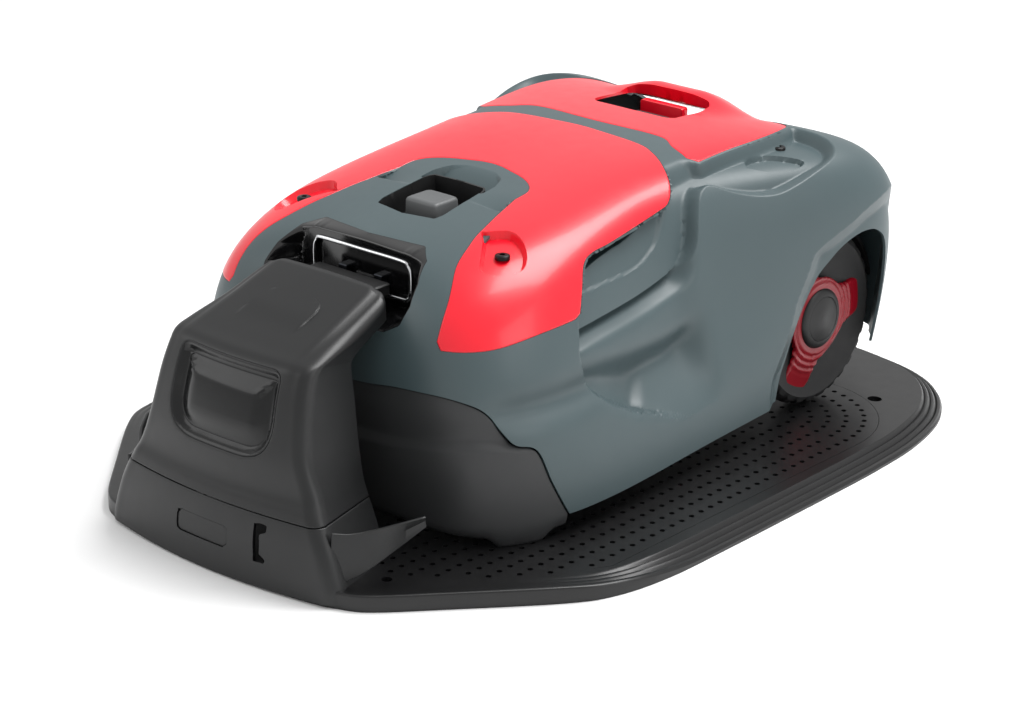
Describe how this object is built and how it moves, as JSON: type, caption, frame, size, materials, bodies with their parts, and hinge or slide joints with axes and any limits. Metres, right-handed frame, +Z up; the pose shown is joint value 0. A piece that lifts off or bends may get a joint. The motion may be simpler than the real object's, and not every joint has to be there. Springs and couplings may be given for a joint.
{
  "type": "robotic lawn mower",
  "caption": "Robotic lawn mower with glossy covers over a slate hood, docked nose-in on its charging station: base plate and sloping contact tower.",
  "frame": {"origin": "middle of the footprint, on the floor under the base plate", "axes": "+Z up, +Y towards the rear of the plate, the way the mower leaves; the tower and the mower's nose face -Y; +X is the side with the cord inlet"},
  "size_m": [0.715, 0.924, 0.3436],
  "materials": {
    "moulded_black_station": "satin moulded",
    "plate_black": "fine textured moulding",
    "smoked_window": "high gloss smoked",
    "light_white": "translucent white",
    "board_green": "lacquered circuit board",
    "hood_slate": "satin moulded",
    "cover_red": "high gloss",
    "bumper_grey": "satin moulded",
    "deep_black": "satin moulded",
    "chassis_grey": "satin moulded",
    "tyre_black": "moulded tread",
    "rim_red": "high gloss",
    "post_rubber": "matt",
    "bright_chrome": "polished",
    "steel": "brushed",
    "contact_brass": "plated",
    "battery_blue": "shrink wrap over cells",
    "motor_steel": "plated can"
  },
  "bodies": {
    "station": {"base_plate": "plate_black", "station_foot": "moulded_black_station", "tower_housing": "moulded_black_station", "tower_rear_cover": "moulded_black_station", "status_window": "smoked_window", "status_light": "light_white", "cable_cover": "moulded_black_station", "contact_block": "deep_black", "station_circuit_board": "board_green"},
    "station_contact_left": {"station_contact_left": "contact_brass"},
    "station_contact_right": {"station_contact_right": "contact_brass"},
    "chassis": {"chassis_tub": "chassis_grey", "chassis_cover": "chassis_grey", "caster_arm_left": "chassis_grey", "caster_arm_right": "chassis_grey", "battery_pack": "battery_blue", "main_circuit_board": "board_green", "drive_motor_left": "motor_steel", "drive_motor_right": "motor_steel", "charge_strip_left": "steel", "charge_strip_right": "steel", "float_post_front_left": "post_rubber", "float_post_front_right": "post_rubber", "float_post_rear_left": "post_rubber", "float_post_rear_right": "post_rubber"},
    "hood": {"hood_shell": "hood_slate", "front_cover": "cover_red", "rear_cover": "cover_red", "charge_port": "deep_black", "port_arch": "bright_chrome", "front_bumper": "bumper_grey", "wheel_liner_left": "deep_black", "wheel_liner_right": "deep_black", "handle_tray": "deep_black", "nose_well": "deep_black", "hood_screw_front_left": "deep_black", "hood_screw_front_right": "deep_black", "hood_screw_rear_left": "deep_black", "hood_screw_rear_right": "deep_black"},
    "height_knob": {"height_knob": "bumper_grey"},
    "release_catch": {"release_catch": "moulded_black_station"},
    "stop_bar": {"stop_bar": "cover_red"},
    "drive_wheel_left": {"tyre_left": "tyre_black", "wheel_rim_left": "rim_red", "wheel_cap_left": "tyre_black"},
    "drive_wheel_right": {"tyre_right": "tyre_black", "wheel_rim_right": "rim_red", "wheel_cap_right": "tyre_black"},
    "caster_left": {"caster_fork_left": "bumper_grey"},
    "caster_right": {"caster_fork_right": "bumper_grey"},
    "caster_wheel_left": {"caster_wheel_left": "tyre_black"},
    "caster_wheel_right": {"caster_wheel_right": "tyre_black"},
    "cutting_deck": {"deck_carrier": "chassis_grey", "cutting_motor": "motor_steel"},
    "blade_disc": {"blade_disc": "steel"},
    "skid_plate": {"skid_plate": "chassis_grey"},
    "blade_1": {"blade_1": "steel"},
    "blade_2": {"blade_2": "steel"},
    "blade_3": {"blade_3": "steel"}
  },
  "joints": [
    {"name": "undock", "type": "slide", "parent": "station", "child": "chassis", "axis": [0, 1, 0], "range_m": [0, 0.95]},
    {"name": "contact_press_left", "type": "slide", "parent": "station", "child": "station_contact_left", "axis": [0, -1, 0], "range_m": [0, 0.003], "stiffness_N_per_m": 300},
    {"name": "contact_press_right", "type": "slide", "parent": "station", "child": "station_contact_right", "axis": [0, -1, 0], "range_m": [0, 0.003], "stiffness_N_per_m": 300},
    {"name": "hood_float", "type": "slide", "parent": "chassis", "child": "hood", "axis": [0, 1, 0], "range_m": [0, 0.005], "stiffness_N_per_m": 3000},
    {"name": "stop_press", "type": "slide", "parent": "hood", "child": "stop_bar", "axis": [0, 0, -1], "range_m": [0, 0.004], "stiffness_N_per_m": 600, "springref_m": -0.002},
    {"name": "catch_press", "type": "slide", "parent": "hood", "child": "release_catch", "axis": [0, 0, -1], "range_m": [0, 0.003], "stiffness_N_per_m": 600, "springref_m": -0.002},
    {"name": "deck_height", "type": "slide", "parent": "chassis", "child": "cutting_deck", "axis": [0, 0, 1], "range_m": [-0.04, 0]},
    {"name": "knob_turn", "type": "hinge", "parent": "chassis", "child": "height_knob", "pos_m": [0, -0.13, 0.304], "axis": [0, 0, 1], "range_deg": [0, 270]},
    {"name": "disc_spin", "type": "hinge", "parent": "cutting_deck", "child": "blade_disc", "pos_m": [0, -0.03, 0.0815], "axis": [0, 0, 1], "continuous": true},
    {"name": "skid_spin", "type": "hinge", "parent": "blade_disc", "child": "skid_plate", "pos_m": [0, -0.03, 0.0683], "axis": [0, 0, 1], "continuous": true},
    {"name": "blade_swing_1", "type": "hinge", "parent": "blade_disc", "child": "blade_1", "pos_m": [0, 0.06, 0.078], "axis": [0, 0, 1], "continuous": true},
    {"name": "blade_swing_2", "type": "hinge", "parent": "blade_disc", "child": "blade_2", "pos_m": [-0.07794, -0.075, 0.078], "axis": [0, 0, 1], "continuous": true},
    {"name": "blade_swing_3", "type": "hinge", "parent": "blade_disc", "child": "blade_3", "pos_m": [0.07794, -0.075, 0.078], "axis": [0, 0, 1], "continuous": true},
    {"name": "wheel_spin_left", "type": "hinge", "parent": "chassis", "child": "drive_wheel_left", "pos_m": [-0.197, 0.26, 0.118], "axis": [1, 0, 0], "continuous": true},
    {"name": "wheel_spin_right", "type": "hinge", "parent": "chassis", "child": "drive_wheel_right", "pos_m": [0.197, 0.26, 0.118], "axis": [1, 0, 0], "continuous": true},
    {"name": "caster_swivel_left", "type": "hinge", "parent": "chassis", "child": "caster_left", "pos_m": [-0.165, -0.19, 0.106], "axis": [0, 0, 1], "continuous": true},
    {"name": "caster_spin_left", "type": "hinge", "parent": "caster_left", "child": "caster_wheel_left", "pos_m": [-0.165, -0.168, 0.06], "axis": [1, 0, 0], "continuous": true},
    {"name": "caster_swivel_right", "type": "hinge", "parent": "chassis", "child": "caster_right", "pos_m": [0.165, -0.19, 0.106], "axis": [0, 0, 1], "continuous": true},
    {"name": "caster_spin_right", "type": "hinge", "parent": "caster_right", "child": "caster_wheel_right", "pos_m": [0.165, -0.168, 0.06], "axis": [1, 0, 0], "continuous": true}
  ],
  "couplings": [
    {"joint": "knob_turn", "follows": "deck_height", "rad_per_m": -117.8}
  ]
}
